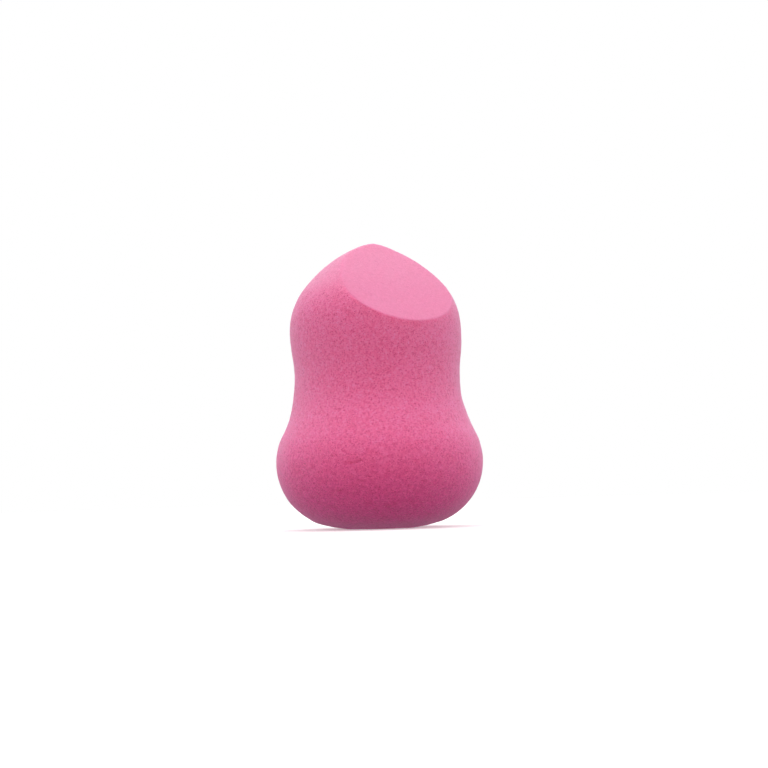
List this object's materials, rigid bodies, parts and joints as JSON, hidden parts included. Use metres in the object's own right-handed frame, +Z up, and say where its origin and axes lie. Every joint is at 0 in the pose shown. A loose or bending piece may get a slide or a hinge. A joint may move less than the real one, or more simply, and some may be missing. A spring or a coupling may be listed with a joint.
{
  "type": "makeup sponge",
  "caption": "Gourd-shaped makeup sponge in soft pink foam: a wide lower bulb, a shallow waist and a smaller upper bulb with a flat slanting cut.",
  "frame": {"origin": "centre of the flat resting face under the lower bulb", "axes": "+Z up along the body's axis to the tip, -Y towards the side that the slanting cut faces, +X to the right as seen facing the cut"},
  "size_m": [0.043, 0.043, 0.0601],
  "materials": {
    "foam": "matte, fine open-pored pink foam, smoother on the cut face"
  },
  "bodies": {
    "root": {"foam_body": "foam"}
  },
  "joints": []
}
